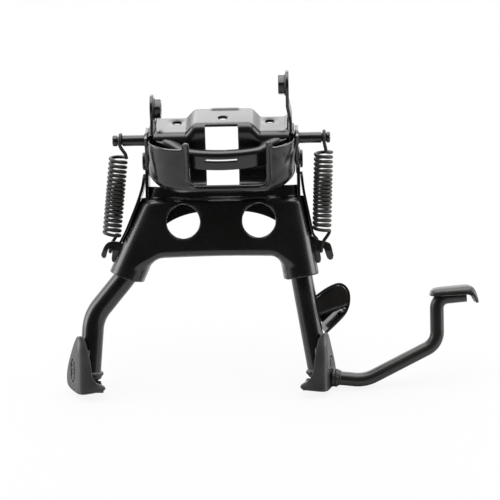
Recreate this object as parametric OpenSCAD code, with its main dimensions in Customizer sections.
// Centre stand for a small motorcycle: a bolted bracket, a swinging two-legged
// stand with a side pedal, and two side springs that pull it over centre.
// Millimetres. X to the right, Y to the rear, Z up. The origin lies on the top
// face of the bracket shelf, midway between its two outer bolt holes.

/* [Bracket] */
// distance between the two outer bolt holes of the shelf
shelf_bolt_spacing = 97.5; // [90:0.5:104]
// bore of the three shelf bolt holes
shelf_bolt_d = 11; // [8.5:0.1:12]
// thickness of the shelf pressing
shelf_t = 3.5; // [2.5:0.1:4]
// height of the raised middle of the shelf
hat_h = 10; // [6:0.5:13]
// width of the window in the shelf pressing
window_w = 34.6; // [26:0.2:44]
// thickness of the front tray sheet
tray_t = 3; // [2:0.1:3.5]
// height of the left ear bolt above the shelf
left_ear_h = 21; // [18:0.5:30]
// height of the right ear bolt above the shelf
right_ear_h = 45.5; // [38:0.5:56]
// thread size of the two ear nuts
ear_thread_d = 12; // [8:0.5:14]

/* [Swing] */
// forward lean of the legs when the stand is down
lean = 25; // [15:1:26]
// diameter of the two pivot pins
pivot_d = 12; // [8:0.1:14]
// gap between a pivot pin and the arm that turns on it
pivot_gap = 0.06; // [0.03:0.01:0.1]
// thickness of the two arms
arm_t = 3.5; // [2.5:0.1:3.7]

/* [Stand] */
// outer diameter of the leg tubes
leg_d = 23; // [21:0.5:24]
// wall of the leg tubes
leg_wall = 2; // [1.5:0.1:3]
// diameter of the two lightening holes of the crossmember
cross_hole_d = 37; // [28:0.5:40]
// thickness of the crossmember sheet
cross_t = 3; // [2:0.1:3.5]
// diameter of the pedal bar
pedal_d = 13; // [10:0.5:14]
// depth of the pedal pad from front to back
pad_depth = 42; // [30:1:60]

/* [Springs] */
// diameter of the two spring pins
spring_pin_d = 11.5; // [10.5:0.1:12.5]
// outer diameter of the spring coils
coil_d = 20.4; // [18:0.1:21]
// wire diameter of the springs
wire_d = 3.6; // [2.6:0.1:3.8]
// number of coils of each spring
coils = 18; // [14:1:19]

/* [Hidden] */
$fn = 64;

paint = "#1b1d1a";
steel = "#8a8b88";

// pivot axis and spring pin axis in the Y and Z directions
piv_y = -10.3;
piv_z = -36;
pin_y = -20;
pin_z = -8;

// the sides of the bracket and the stand lie this far off the bolts' middle
side_x = -1.6;

// bracket planes
shelf_half = 70.4;
shelf_rear = 11;
wall_y = -32;
bend_r = 6;
floor_z = -60;
low_r = 12;
tray_front = -62;
tray_half = 77;
tray_top = -1;
tray_floor = -57;
ear_in = 70.5;
ear_t = 3.4;
ear_r = 15;
ear_y = -5;
nut_t = 7.6;
nut_af = 19;

// arms and pivot heads
arm_in = tray_half + 0.8;
arm_out = arm_in + arm_t;
arm_r = 13;
head_t = 2.8;
head_d = 19;

// stand, measured down from the pivot axis
leg_r = leg_d / 2;
sleeve_r = 16;
cross_top = -40.5;
cross_low = -99.5;
bar_top = -28;
bar_front = -10;
hole_z = -64.5;
left_hole_x = -41.8;
right_hole_x = 37.4;
left_top = [-79.1, -68];
left_end = [-102.1, -118.5];
left_knee = [-138.6, -163.5];
left_toe = [-142, -226.4];
right_top = [71.7, -68];
right_toe = [98, -225];
right_end = right_top + (right_toe - right_top) * 0.334;
left_flare = atan2(left_top[0] - left_end[0], left_top[1] - left_end[1]);

// spring line from the pin groove to the notch of the hook tab
left_groove_x = -106.3;
right_groove_x = 106.7;
left_notch = [-120.6, -93.5];
right_notch = [103.4, -96.5];
coil_r = (coil_d - wire_d) / 2;
groove_d = spring_pin_d - 2.5;
notch_r = wire_d / 2 + 0.6;

// a flat shape in the Y and Z directions pushed along X
module side_prism(x0, x1) {
    translate([x0, 0, 0]) rotate([90, 0, 90]) linear_extrude(x1 - x0) children();
}

// a flat shape in the X and Z directions pushed along Y
module front_prism(y0, y1) {
    translate([0, y1, 0]) rotate([90, 0, 0]) linear_extrude(y1 - y0) children();
}

// a round bar along X
module x_bar(x0, x1, d, y, z) {
    translate([x0, y, z]) rotate([0, 90, 0]) cylinder(h = x1 - x0, d = d);
}

// places a piece of the stand, drawn upright below the pivot, at its lean
module on_stand() {
    translate([side_x, piv_y, piv_z]) rotate([-lean, 0, 0]) children();
}

// places a side piece of the bracket
module on_side() {
    translate([side_x, 0, 0]) children();
}

// flat region behind the front line yf and under the top zt, front edge rounded
module rounded_front(yf, yr, zb, zt, r) {
    translate([yf, zb]) square([yr - yf, zt - r - zb]);
    translate([yf + r, zb]) square([yr - yf - r, zt - zb]);
    translate([yf + r, zt - r]) circle(r = r);
}

// the solid whose skin is the shelf pressing, drawn in by g on every side
module shelf_block(g) {
    zb = -48;
    intersection() {
        front_prism(wall_y + g, shelf_rear + 1) polygon([
            [-38 + g * 0.42, zb - 1], [-38 + g * 0.42, -g], [-38 + 0.9 * hat_h + g * 0.42, hat_h - g],
            [38 - 0.9 * hat_h - g * 0.42, hat_h - g], [38 - g * 0.42, -g], [38 - g * 0.42, zb - 1]]);
        side_prism(-60, 60)
            rounded_front(wall_y + g, shelf_rear + 2, zb - 2, hat_h - g, bend_r - g * 0.8);
    }
    intersection() {
        translate([side_x - shelf_half - (g > 0 ? 1 : 0), wall_y + g, zb - 2])
            cube([2 * shelf_half + (g > 0 ? 2 : 0), shelf_rear - wall_y + 3, -g - zb + 2]);
        side_prism(side_x - shelf_half - 2, side_x + shelf_half + 2)
            rounded_front(wall_y + g, shelf_rear + 2, zb - 2, -g, bend_r - g * 0.8);
    }
}

module shelf_plate() {
    color(paint) difference() {
        union() {
            intersection() {
                difference() {
                    shelf_block(0);
                    shelf_block(shelf_t);
                }
                translate([-80, wall_y - 1, -48]) cube([160, shelf_rear - wall_y + 1, 80]);
            }
            // lower bend of the wall and the lip under the tray floor
            difference() {
                x_bar(-50, 47, 2 * low_r, wall_y + shelf_t - low_r, -48);
                x_bar(-51, 48, 2 * (low_r - shelf_t), wall_y + shelf_t - low_r, -48);
                translate([-60, wall_y - 40, -48]) cube([120, 80, 40]);
                translate([-60, wall_y + shelf_t - low_r - 40, -70]) cube([120, 40, 40]);
            }
            translate([-46, -50, -48 - low_r])
                cube([89, wall_y + shelf_t - low_r + 50.01, shelf_t * 0.8]);
        }
        // wall ends taper below the shelf
        for (s = [-1, 1]) side_trim(s);
        // bolt holes
        for (x = [-shelf_bolt_spacing / 2, shelf_bolt_spacing / 2])
            translate([x, 0, -10]) cylinder(h = 20, d = shelf_bolt_d);
        translate([0, -13.5, 0]) cylinder(h = 20, d = shelf_bolt_d);
        // window from the front bend of the hat down through the lower bend
        translate([-2.4 - window_w / 2, -46, -55]) cube([window_w, 46 - 26.5, 55 + hat_h + 1]);
    }
}

// slanting cut that keeps the wall inside the ends of the inner band
module side_trim(s) {
    front_prism(-60, -24) polygon([
        [side_x + s * 46, -49], [side_x + s * 46, -70], [side_x + s * 90, -70],
        [side_x + s * 90, -4], [side_x + s * 54, -4]]);
}

// the solid whose skin is the tray, drawn in by g
module tray_block(g) {
    r_plan = 34 - g;
    r_low = 28 - g;
    r_lip = 14 - g;
    w = tray_half - g;
    f = tray_front + g;
    b = tray_floor + g;
    intersection() {
        translate([0, 0, -70]) linear_extrude(90) {
            translate([-w, f + r_plan]) square([2 * w, 60]);
            translate([-w + r_plan, f]) square([2 * (w - r_plan), 60]);
            for (s = [-1, 1]) translate([s * (w - r_plan), f + r_plan]) circle(r = r_plan);
        }
        front_prism(-80, 60) {
            translate([-w, b + r_low]) square([2 * w, 60]);
            translate([-w + r_low, b]) square([2 * (w - r_low), 80]);
            for (s = [-1, 1]) translate([s * (w - r_low), b + r_low]) circle(r = r_low);
        }
        side_prism(-90, 90) {
            translate([f, b + r_lip]) square([80, 90]);
            translate([f + r_lip, b]) square([80, 90]);
            translate([f + r_lip, b + r_lip]) circle(r = r_lip);
        }
    }
}

module front_tray() on_side() {
    color(paint) difference() {
        intersection() {
            difference() {
                tray_block(0);
                tray_block(tray_t);
            }
            union() {
                translate([-90, -90, -90]) cube([180, 60, 90 + tray_top]);
                for (x = [-42.5, 44.5]) translate([x, -90, -20]) cube([7, 60, 27]);
            }
        }
        // window between the two ribs
        translate([-35.5, -80, -41.5]) cube([80, 40, 60]);
        // the floor stops at the wall of the shelf pressing
        translate([-90, -41, -59]) cube([180, 60, 14]);
    }
    // side lugs around the pivots
    for (s = [-1, 1]) color(paint) difference() {
        union() {
            tray_side(s) polygon([[-31, tray_top], [-31, -28.5], [piv_y - 15, piv_z],
                [piv_y + 15, piv_z], [2, tray_top - 8], [-2, tray_top]]);
            tray_side(s) translate([piv_y, piv_z]) circle(r = 15.5);
        }
        x_bar(-90, 90, pivot_d, piv_y, piv_z);
        x_bar(-90, 90, spring_pin_d, pin_y, pin_z);
    }
    // rolled lip under the window
    color(paint) intersection() {
        x_bar(-40, 49, 7, tray_front + 2.6, -44);
        translate([-50, tray_front - 0.6, -50]) cube([100, 10, 12]);
    }
}

module tray_side(s) {
    side_prism(s > 0 ? tray_half - tray_t : -tray_half, s > 0 ? tray_half : tray_t - tray_half)
        children();
}

module inner_band() on_side() {
    color(paint) difference() {
        intersection() {
            union() {
                translate([0, 39, -26.4]) cylinder(h = 21.9, r = 95, $fn = 128);
            }
            translate([-ear_in + 0.1, -60, -30]) cube([2 * ear_in - 0.2, 40, 40]);
        }
        translate([0, 39, -30]) cylinder(h = 22.5, r = 92, $fn = 128);
        translate([0, 39, -30]) cylinder(h = 40, r = 83, $fn = 128);
        translate([-17, -70, -17]) cube([34, 30, 2.4]);
        // stays in front of the wall of the shelf pressing
        translate([-55.5, -32.1, -10]) cube([111, 40, 20]);
    }
}

// an ear plate from x0 to x1: rounded about its bolt and about the pivot
module ear_body(x0, x1, h) {
    w = ear_r - 0.6;
    union() {
        side_prism(x0, x1) translate([ear_y, h]) circle(r = ear_r);
        side_prism(x0, x1) polygon([[-30, 2], [ear_y - w, 14], [ear_y - w, h],
            [ear_y + w, h], [ear_y + w, -10], [piv_y + 15.2, piv_z],
            [piv_y - 15.2, piv_z], [-30, -14]]);
        side_prism(x0, x1) translate([piv_y, piv_z]) circle(r = 16);
    }
}

module left_ear() on_side() {
    color(paint) difference() {
        ear_body(-ear_in - ear_t, -ear_in, left_ear_h);
        x_bar(-90, -60, ear_thread_d + 0.6, ear_y, left_ear_h);
        x_bar(-90, -60, pivot_d, piv_y, piv_z);
        x_bar(-90, -60, spring_pin_d - 2.5, pin_y, pin_z);
    }
}

module right_ear() on_side() {
    joggle = 3;
    step_z = 10;
    color(paint) difference() {
        union() {
            intersection() {
                ear_body(ear_in, ear_in + ear_t, right_ear_h);
                translate([60, -60, -60]) cube([30, 90, 60 + step_z]);
            }
            intersection() {
                ear_body(ear_in - 6, ear_in + ear_t, right_ear_h);
                front_prism(-40, 30) polygon([[ear_in, step_z - 0.5],
                    [ear_in + ear_t, step_z - 0.5], [ear_in + ear_t, step_z],
                    [ear_in + ear_t - joggle, step_z + 16], [ear_in + ear_t - joggle, 90],
                    [ear_in - joggle, 90], [ear_in - joggle, step_z + 16]]);
            }
        }
        x_bar(50, 90, ear_thread_d + 0.6, ear_y, right_ear_h);
        x_bar(50, 90, pivot_d, piv_y, piv_z);
        x_bar(50, 90, spring_pin_d - 2.5, pin_y, pin_z);
    }
}

// hexagon nut with a bevelled outer rim, its bore along X from x0 to x1
module ear_nut(x0, x1, z) {
    color(paint) difference() {
        intersection() {
            translate([x0, ear_y, z]) rotate([0, 90, 0])
                cylinder(h = x1 - x0, d = nut_af / cos(30), $fn = 6);
            translate([x0, ear_y, z]) rotate([0, 90, 0])
                cylinder(h = x1 - x0, d = nut_af * 1.125);
        }
        x_bar(x0 - 1, x1 + 1, ear_thread_d, ear_y, z);
    }
}

module left_ear_nut() on_side() ear_nut(-ear_in + 0.01, -ear_in + nut_t, left_ear_h);

module right_ear_nut() on_side() ear_nut(ear_in - 3 - nut_t, ear_in - 3.01, right_ear_h);

// spring pin along X: s is the side, x_end the outer end, gx its groove
module spring_pin(s, x_end, gx) {
    color(paint) difference() {
        union() {
            translate([s * (ear_in + ear_t + 0.01), pin_y, pin_z]) rotate([0, s * 90, 0])
                cylinder(h = abs(x_end) - ear_in - ear_t - 1, d = spring_pin_d);
            translate([s * ear_in, pin_y, pin_z]) rotate([0, s * 90, 0])
                cylinder(h = ear_t + 2, d = spring_pin_d - 2.5);
            translate([s * (abs(x_end) - 1), pin_y, pin_z]) rotate([0, s * 90, 0])
                cylinder(h = 1, d1 = spring_pin_d, d2 = spring_pin_d - 2);
        }
        translate([gx - 2.8, pin_y, pin_z]) rotate([0, 90, 0]) difference() {
            cylinder(h = 5.6, d = spring_pin_d + 2);
            cylinder(h = 5.6, d = groove_d);
        }
    }
}

module left_spring_pin() on_side() spring_pin(-1, 114, left_groove_x);

module right_spring_pin() on_side() spring_pin(1, 113.2, right_groove_x);

// flat headed pivot pin through arm, tray wall and ear
module pivot_pin(s) {
    color(steel) translate([s * (ear_in - 4), piv_y, piv_z]) rotate([0, s * 90, 0]) {
        cylinder(h = arm_out + 0.3 - ear_in + 4, d = pivot_d);
        translate([0, 0, arm_out + 0.3 - ear_in + 4]) {
            cylinder(h = head_t - 0.7, d = head_d);
            translate([0, 0, head_t - 0.7]) cylinder(h = 0.7, d1 = head_d, d2 = head_d - 1.4);
        }
    }
}

module left_pivot_pin() on_side() pivot_pin(-1);

module right_pivot_pin() on_side() pivot_pin(1);

// a straight bar of the stand from a to b in the X and Z directions
module rod(a, b, r, y = 0) {
    v = b - a;
    translate([a[0], y, a[1]]) rotate([0, atan2(v[0], v[1]), 0])
        cylinder(h = norm(v), r = r);
}

function unit(v) = v / norm(v);
function turn_between(p, q, s) =
    let (u = unit(q - p), w = unit(s - q)) acos(min(1, max(-1, u * w)));
function side_of(p, q, s) = (q[0] - p[0]) * (s[1] - q[1]) - (q[1] - p[1]) * (s[0] - q[0]) > 0 ? 1 : -1;
function tangent_in(p, q, s, r) = q - unit(q - p) * r * tan(turn_between(p, q, s) / 2);
function tangent_out(p, q, s, r) = q + unit(s - q) * r * tan(turn_between(p, q, s) / 2);

// a bend of radius r at corner q of the path p, q, s for a bar of radius rb
module elbow(p, q, s, r, rb) {
    u = unit(q - p);
    side = side_of(p, q, s);
    nrm = side * [-u[1], u[0]];
    c = tangent_in(p, q, s, r) + nrm * r;
    a = turn_between(p, q, s);
    start = atan2(-nrm[1], -nrm[0]);
    translate([c[0], 0, c[1]]) rotate([90, 0, 0])
        rotate([0, 0, side > 0 ? start : start - a])
            rotate_extrude(angle = a) translate([r, 0]) circle(r = rb);
}

// short collar that joins a straight bar to a bend at point a, heading v
module joint(a, v, r) rod(a - unit(v) * 0.6, a + unit(v) * 0.6, r + 0.07);

// a bent bar along the points of path p with the bend radii b; its two ends
// run on by g
module bent_bar(p, b, r, g = 0) {
    n = len(p);
    for (i = [0:n - 2]) {
        a = i == 0 ? p[0] - unit(p[1] - p[0]) * g : tangent_out(p[i - 1], p[i], p[i + 1], b[i - 1]);
        c = i == n - 2 ? p[n - 1] + unit(p[n - 1] - p[n - 2]) * g
            : tangent_in(p[i], p[i + 1], p[i + 2], b[i]);
        rod(a, c, r);
        if (i > 0) joint(a, c - a, r);
        if (i < n - 2) {
            joint(c, c - a, r);
            elbow(p[i], p[i + 1], p[i + 2], b[i], r);
        }
    }
}

left_path = [left_top, left_end, left_knee, left_toe];

module left_leg() {
    color(paint) on_stand() difference() {
        bent_bar(left_path, [70, 42], leg_r);
        bent_bar(left_path, [70, 42], leg_r - leg_wall, 1);
    }
}

module right_leg() {
    color(paint) on_stand() difference() {
        rod(right_top, right_toe, leg_r);
        rod(right_top - unit(right_toe - right_top), right_toe + unit(right_toe - right_top),
            leg_r - leg_wall);
    }
}

// outer half sleeve around the top of a leg
module sleeve(end, flare, r, top, low) {
    d = [sin(flare), cos(flare)];
    rod(end - d * low, end + d * top, r);
}

module cross_outline() {
    difference() {
        polygon([[-82, cross_top], [80.6, cross_top], [92, -95], [74, -116], [40, -112],
            [-58, -112], [-84, -118], [-104, -88]]);
        translate([-58.8, cross_low - 40]) square([101, 40]);
        translate([-58.8, cross_low - 24]) circle(r = 24);
        translate([42.2, cross_low - 24]) circle(r = 24);
        translate([left_hole_x, hole_z]) circle(d = cross_hole_d);
        translate([right_hole_x, hole_z]) circle(d = cross_hole_d);
    }
}

// the right sleeve follows the straight right leg
module right_sleeve(r, top, low) {
    u = unit(right_toe - right_top);
    rod(right_end - u * top, right_end + u * low, r);
}

// front pressing of the stand, open to the rear
module crossmember() {
    color(paint) on_stand() difference() {
        union() {
            front_prism(-sleeve_r, -sleeve_r + cross_t) cross_outline();
            difference() {
                union() {
                    sleeve(left_end, left_flare, sleeve_r, 84, 5);
                    right_sleeve(sleeve_r, 84, 4);
                }
                translate([-70, -sleeve_r + cross_t, -97]) cube([136, 40, 80]);
                translate([-160, -30, cross_top]) cube([320, 60, 60]);
            }
            // top joggle and the raised bar behind it
            side_prism(0.05 - arm_in, arm_in - 0.05) polygon([[-sleeve_r, cross_top - 0.01],
                [-sleeve_r + cross_t, cross_top - 3], [bar_front + cross_t, cross_top + 3.5],
                [bar_front + cross_t, bar_top], [bar_front, bar_top], [bar_front, cross_top + 5.5]]);
        }
        translate([-160, 4, -160]) cube([320, 40, 160]);
        sleeve(left_end, left_flare, leg_r + 0.01, 90, 1);
        bent_bar([left_top, left_end, left_knee], [70], leg_r + 0.01);
        right_sleeve(leg_r + 0.01, 90, 10);
    }
}

// arched web behind the crossmember with a flange along its top
module rear_web() {
    color(paint) on_stand() difference() {
        union() {
            front_prism(9, 12) difference() {
                polygon([[-74, bar_top - 2], [74, bar_top - 2], [70, -72], [-70, -72]]);
                translate([-2, -190]) circle(r = 132.5, $fn = 128);
            }
            translate([0.05 - arm_in, bar_front + cross_t + 0.01, bar_top - 3])
                cube([2 * arm_in - 0.1, 12 - bar_front - cross_t - 0.01, 3]);
        }
        sleeve(left_end, left_flare, leg_r, 90, 10);
        right_sleeve(leg_r, 90, 10);
    }
}

// arm from the pivot down to the crossmember
module arm(s) {
    x0 = s > 0 ? arm_in : -arm_out;
    difference() {
        union() {
            x_bar(x0, x0 + arm_t, 2 * arm_r, 0, 0);
            side_prism(x0, x0 + arm_t) polygon([[0.6 - arm_r, 0], [arm_r - 0.6, 0],
                [12.5, -52], [-12.9, -52]]);
        }
        // the foot of the arm lies over the sleeve
        intersection() {
            union() {
                sleeve(left_end, left_flare, sleeve_r + 0.01, 90, 5);
                right_sleeve(sleeve_r + 0.01, 90, 4);
            }
            translate([-160, -30, cross_top - 60]) cube([320, 60, 60]);
        }
        x_bar(x0 - 1, x0 + arm_t + 1, pivot_d + 2 * pivot_gap, 0, 0);
    }
}

module left_arm() color(paint) on_stand() arm(-1);

module right_arm() color(paint) on_stand() arm(1);

// flared plate with a notched tab that holds the lower end of a spring
module hook_plate(s, flare, notch) {
    len_p = 76;
    start = [s * (arm_out + 0.01), -14];
    tip = start + [s * sin(flare), -cos(flare)] * len_p;
    difference() {
        union() {
            translate([start[0], 0, start[1]]) rotate([0, -s * flare, 0])
                side_prism(s > 0 ? 0 : -3, s > 0 ? 3 : 0) polygon([[-11, 0], [11, 0],
                    [12, -30], [6, -len_p - 6], [-6, -len_p - 6], [-12, -30]]);
            // tab facing forward
            front_prism(-1.6, 1.6) {
                translate(notch + [s * 1, 3]) rotate(s * 14) {
                    translate([0, -1]) circle(r = 9);
                    translate([-9, -12]) square([18, 11]);
                }
                polygon([tip + [0, 8], tip + [s * 1.5, -3], notch + [-s * 2, -2], notch + [-s * 2, 9]]);
            }
        }
        front_prism(-5, 5) {
            translate(notch) circle(r = notch_r);
            translate(notch) rotate(s * 14) translate([-notch_r, -24]) square([2 * notch_r, 24]);
        }
        // keeps the plate outside the arm and the sleeves
        translate([s > 0 ? arm_out - 20 : -arm_out, -30, -160]) cube([20, 60, 160]);
        sleeve(left_end, left_flare, sleeve_r + 0.01, 90, 5);
        right_sleeve(sleeve_r + 0.01, 90, 4);
    }
}

module left_hook_plate() color(paint) on_stand() hook_plate(-1, 20, left_notch);

module right_hook_plate() color(paint) on_stand() hook_plate(1, 7.2, right_notch);

// pressed foot, drawn for the right side with its front fold line at X zero
foot_turn = 30;
module foot() {
    difference() {
        union() {
            // front panel
            front_prism(-17, -14) polygon([[0, 0], [-6.7, -9], [-10.2, -20], [-13.6, -30],
                [-12.6, -40], [-17, -49], [-25, -53.5], [-24, -57.5], [-8, -59.5], [1.5, -59.5]]);
            // outer panel
            translate([-3, -17, 0]) rotate([0, 0, -foot_turn]) side_prism(0, 3)
                polygon([[1, 0], [11, -2], [20, -18], [32, -40], [33, -47], [1, -59.5]]);
            // sole, level when the stand is down
            translate([0, -17, -59.5]) rotate([lean, 0, 0]) linear_extrude(3)
                polygon([[-24, 0.5], [-0.8, 0.5], [12.5, 28], [-20, 28]]);
        }
        // slot in the outer panel
        translate([-3, -17, 0]) rotate([0, 0, -foot_turn]) side_prism(-2, 5) {
            translate([16, -29]) circle(r = 5.5);
            translate([16, -43]) circle(r = 5.5);
            translate([10.5, -43]) square([11, 14]);
        }
    }
}

module left_foot() color(steel) on_stand() translate([-156, 0, -184]) mirror([1, 0, 0]) foot();

module right_foot() color(steel) on_stand() translate([106.7, 0, -184.5]) foot();

pedal_path = [[106, -230.5], [145.7, -235], [220.9, -197], [221.9, -149.5], [248.2, -146.9]];

module pedal_arm() {
    color(paint) on_stand() difference() {
        bent_bar(pedal_path, [38, 18, 12], pedal_d / 2);
        // cut flush with the outer panel of the foot
        translate([103.7, -17, -250]) rotate([0, 0, -foot_turn]) translate([-40, -10, 0])
            cube([43.02, 60, 50]);
    }
}

// curved plate the rider steps on
module pedal_pad() {
    pad_z = -149 + pedal_d / 2;
    color(paint) on_stand() intersection() {
        translate([-1.6, 0, pad_z + 0.02]) front_prism(-pad_depth / 2, pad_depth / 2) {
            polygon([[218, 2.6], [218.4, 0], [246, 3], [246, 6], [240, 6]]);
            translate([246, -15]) difference() {
                circle(r = 21);
                circle(r = 18);
                translate([-30, -30]) square([30, 60]);
                translate([-30, -34]) square([60, 34]);
            }
        }
        translate([240.4, 0, -170]) cylinder(h = 60, r = 28);
    }
}

// bent sheet loop with a web, welded to the rear of the right leg
module leg_loop() {
    color(paint) on_stand() difference() {
        translate([-1.8, 0, 0]) union() {
            front_prism(2, 26) difference() {
                loop_region(0);
                loop_region(3);
            }
            front_prism(9, 12) intersection() {
                loop_region(0);
                polygon([[90, -169], [106, -163], [134, -154], [134, -120], [90, -120]]);
            }
        }
        rod(right_top, right_toe + unit(right_toe - right_top) * 10, leg_r + 0.01);
    }
}

module loop_region(g) {
    translate([117.5, -146.5]) circle(r = 15 - g);
    polygon([[94 - g, -147 - g * 0.9], [97.5, -143.5 - g * 0.9], [110.5, -133.3 - g * 0.85],
        [132 - g, -144], [131.5 - g, -155], [126.5 - g * 0.9, -166 + g * 0.3],
        [107 - g * 0.3, -184 + g * 1.2], [100, -184 + g * 1.2],
        [90 - g * 0.5, -170 + g * 1.5]]);
}

// wire of a spring: pin at the origin, notch at [0, 0, -run]
seg = 14;
sides = 6;
top_s = 16.2 + wire_d / 2;
function low_s(run) = run - 15 - wire_d / 2;

// centre line: hook over the pin, coils, hook through the notch
function coil_pt(i, run) = let (n = coils * seg, a = -90 + 360 * i / seg)
    [coil_r * cos(a), coil_r * sin(a), -top_s - (low_s(run) - top_s) * i / n];
function coil_dir(i, run) = let (n = coils * seg, a = -90 + 360 * i / seg,
    p = (low_s(run) - top_s) / coils)
    unit([-sin(a) * 2 * PI * coil_r, cos(a) * 2 * PI * coil_r, -p]);

hook_r = 2.6;
over_r = groove_d / 2 + wire_d / 2 + 0.15;
function ring(p, n, b) = [for (k = [0:sides - 1])
    p + (n * cos(360 * k / sides) + b * sin(360 * k / sides)) * wire_d / 2];

// each station is a point, a normal and a second normal of the wire
function stations(run) = concat(
    // free end behind the pin, up and over it to the front
    [for (a = [-30:15:180]) [[0, over_r * cos(a), over_r * sin(a)],
        [0, cos(a), sin(a)], [1, 0, 0]]],
    // down the front of the pin, easing out to the coil
    [for (k = [1:5]) let (t = k / 5, e = (1 - cos(180 * t)) / 2)
        [[-hook_r * e, -over_r - (coil_r - over_r) * e, -(top_s - hook_r) * t],
        [0, -1, 0], [1, 0, 0]]],
    [for (a = [30:30:60]) [[-hook_r * cos(a), -coil_r, -top_s + hook_r - hook_r * sin(a)],
        [0, -1, 0], [cos(a), 0, sin(a)]]],
    [for (i = [0:coils * seg]) let (a = -90 + 360 * i / seg, n = [cos(a), sin(a), 0],
        d = coil_dir(i, run)) [coil_pt(i, run), n, cross(n, d)]],
    [for (a = [60:-30:0]) [[hook_r * cos(a), -coil_r, -low_s(run) - hook_r + hook_r * sin(a)],
        [0, -1, 0], [cos(a), 0, sin(a)]]],
    [for (k = [1:3]) let (t = k / 3, g = 5.2, e = (1 - cos(180 * t)) / 2)
        [[hook_r * (1 - e), -coil_r + (coil_r - g) * e,
            -(low_s(run) + hook_r) - (run - 3.6 - low_s(run) - hook_r) * t],
        [0, -1, 0], [1, 0, 0]]],
    [for (a = [195:15:345]) [[0, 5.2 * cos(a), -run + 3.6 + 5.2 * sin(a)],
        [0, cos(a), sin(a)], [1, 0, 0]]]);

module wire_body(run) {
    st = stations(run);
    n = len(st);
    pts = [for (s = st) each ring(s[0], s[1], s[2])];
    polyhedron(points = pts, faces = concat(
        [[for (k = [sides - 1:-1:0]) k]],
        [for (i = [0:n - 2], k = [0:sides - 1]) let (a = i * sides + k,
            b = i * sides + (k + 1) % sides) [a, b, a + sides]],
        [for (i = [0:n - 2], k = [0:sides - 1]) let (a = i * sides + k,
            b = i * sides + (k + 1) % sides) [b, b + sides, a + sides]],
        [[for (k = [0:sides - 1]) (n - 1) * sides + k]]));
}

// spring from the groove of its pin to the notch of its hook tab
module spring(gx, notch) {
    hy = notch[1] * sin(lean) + piv_y;
    hz = notch[1] * cos(lean) + piv_z;
    v = [notch[0] - gx, hy - pin_y, hz - pin_z];
    fore = atan2(v[1], -v[2]);
    out = atan2(-v[0], norm([v[1], v[2]]));
    color(paint) translate([gx, pin_y, pin_z]) rotate([fore, 0, 0]) rotate([0, out, 0])
        wire_body(norm(v));
}

module left_spring() on_side() spring(left_groove_x, left_notch);

module right_spring() on_side() spring(right_groove_x, right_notch);

shelf_plate();
front_tray();
inner_band();
left_ear();
right_ear();
left_ear_nut();
right_ear_nut();
left_spring_pin();
right_spring_pin();
left_pivot_pin();
right_pivot_pin();
crossmember();
rear_web();
left_arm();
right_arm();
left_hook_plate();
right_hook_plate();
left_leg();
right_leg();
left_foot();
right_foot();
pedal_arm();
pedal_pad();
leg_loop();
left_spring();
right_spring();
